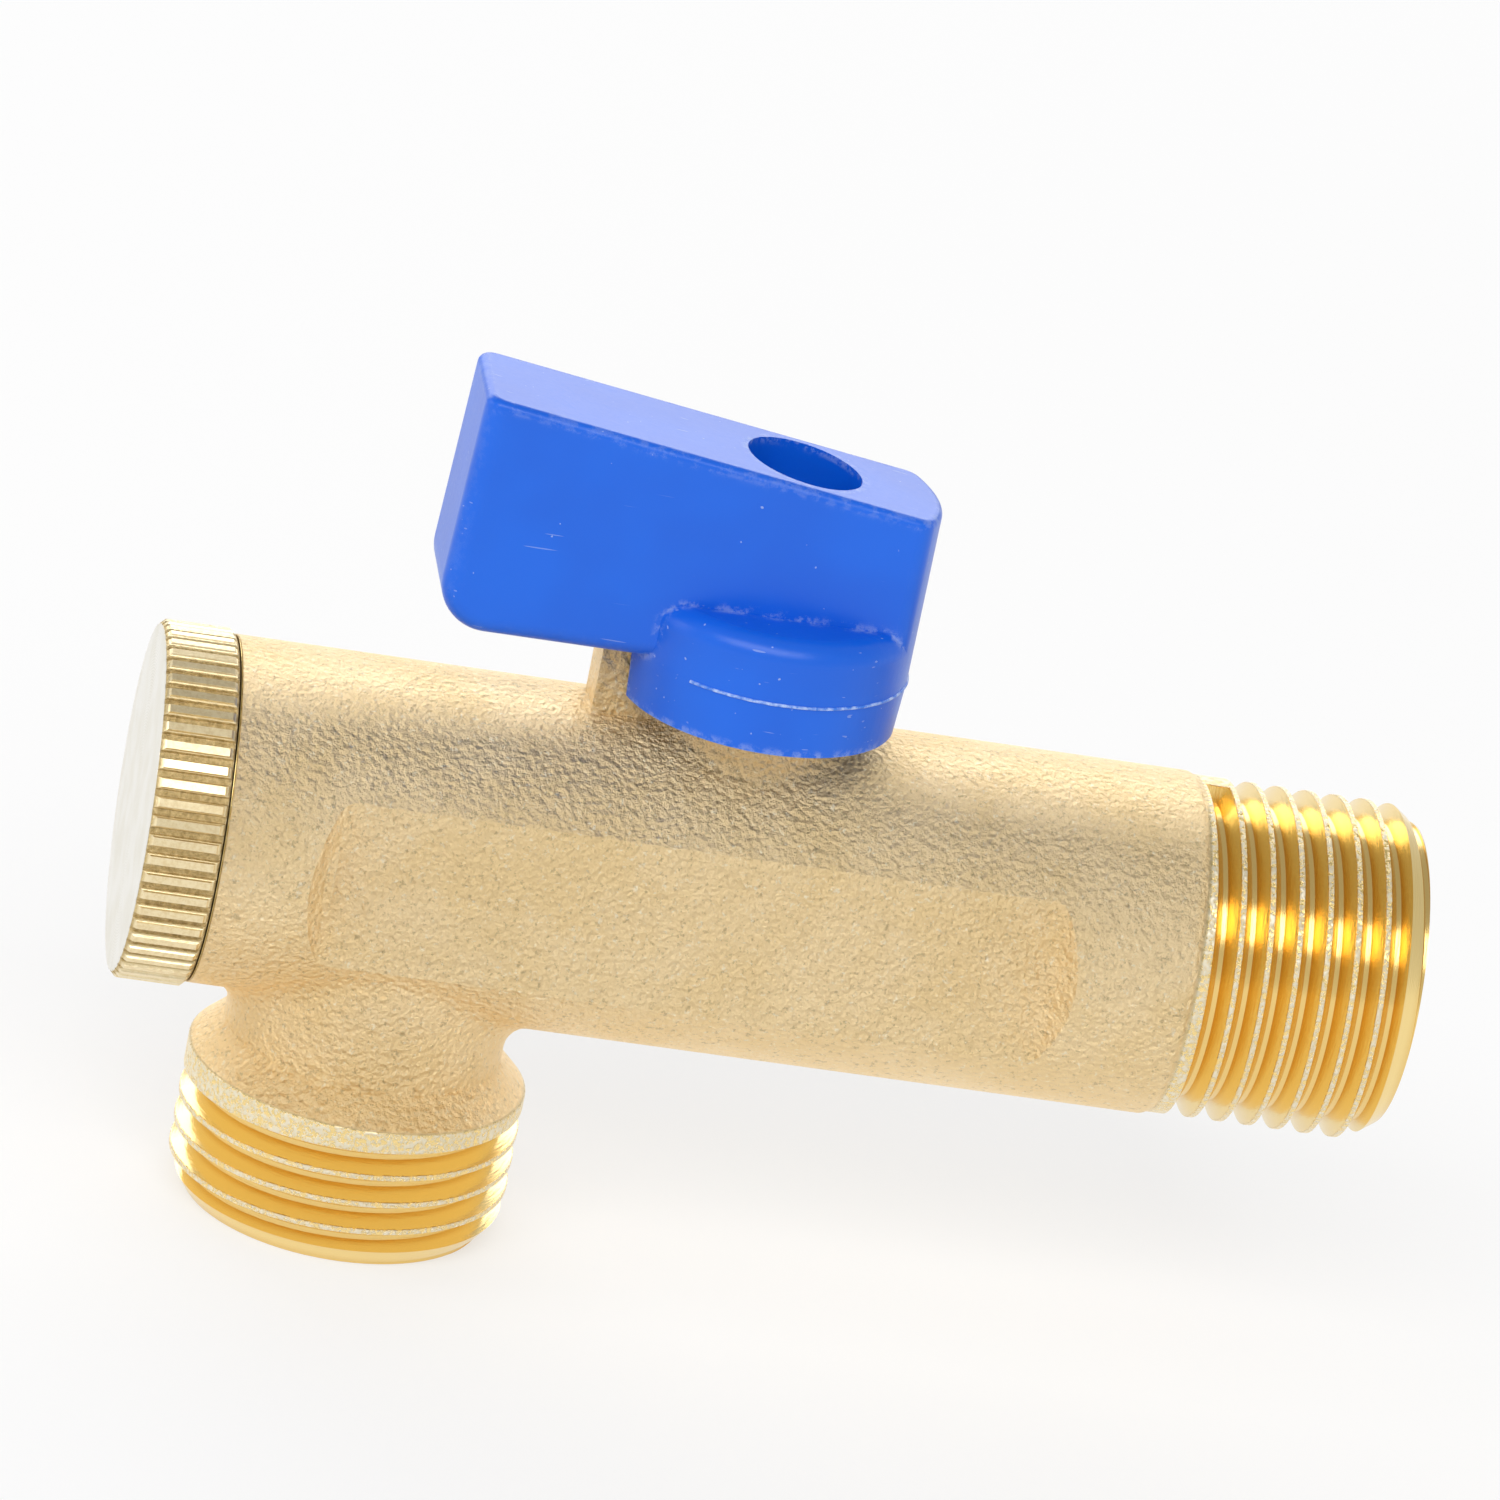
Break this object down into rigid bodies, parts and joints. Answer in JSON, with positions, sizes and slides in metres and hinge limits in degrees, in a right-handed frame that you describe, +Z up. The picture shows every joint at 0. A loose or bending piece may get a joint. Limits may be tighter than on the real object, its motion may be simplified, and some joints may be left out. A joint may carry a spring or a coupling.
{
  "type": "angle ball valve with strainer",
  "caption": "Brass angle ball valve with male pipe threads on inlet and outlet, a quarter-turn lever handle and a knurled screw plug over its built-in strainer.",
  "frame": {"origin": "centre of the inlet's end face", "axes": "+X out of the inlet along the body, +Z up along the stem to the handle, outlet branch down along -Z, strainer plug at -X"},
  "size_m": [0.0785, 0.0218, 0.0547],
  "materials": {
    "forged_brass": "sandblasted, threads bright",
    "turned_brass": "turned",
    "chromed_ball": "polished",
    "ptfe": "waxy",
    "black_rubber": "satin",
    "blue_plastic": "semi-gloss moulded",
    "zinc_steel": "zinc plated",
    "stainless_mesh": "perforated sheet",
    "white_plastic": "moulded"
  },
  "bodies": {
    "valve_body": {"valve_body": "forged_brass", "seat_inlet": "ptfe", "seat_outlet": "ptfe", "seat_retainer": "turned_brass", "retainer_o_ring": "black_rubber"},
    "handle_set": {"handle": "blue_plastic", "handle_screw": "zinc_steel", "handle_screw_washer": "zinc_steel", "stem": "turned_brass", "stem_thrust_washer": "ptfe", "stem_o_ring_lower": "black_rubber", "stem_o_ring_upper": "black_rubber"},
    "ball": {"ball": "chromed_ball"},
    "strainer_set": {"strainer_screen": "stainless_mesh", "strainer_collar": "turned_brass", "strainer_end_cap": "white_plastic"},
    "plug_set": {"strainer_plug": "turned_brass", "plug_o_ring": "black_rubber"}
  },
  "joints": [
    {"name": "handle_turn", "type": "hinge", "parent": "valve_body", "child": "handle_set", "pos_m": [-0.0424, 0, 0], "axis": [0, 0, 1], "range_deg": [0, 90]},
    {"name": "ball_turn", "type": "hinge", "parent": "valve_body", "child": "ball", "pos_m": [-0.0424, 0, 0], "axis": [0, 0, 1], "range_deg": [0, 90]},
    {"name": "strainer_slide", "type": "slide", "parent": "valve_body", "child": "strainer_set", "axis": [-1, 0, 0], "range_m": [0, 0.005]},
    {"name": "plug_turn", "type": "hinge", "parent": "strainer_set", "child": "plug_set", "pos_m": [-0.0739, 0, 0], "axis": [-1, 0, 0], "range_deg": [0, 1800]}
  ],
  "couplings": [
    {"joint": "ball_turn", "follows": "handle_turn", "ratio": 1},
    {"joint": "strainer_slide", "follows": "plug_turn", "m_per_rad": 0.00015915}
  ]
}
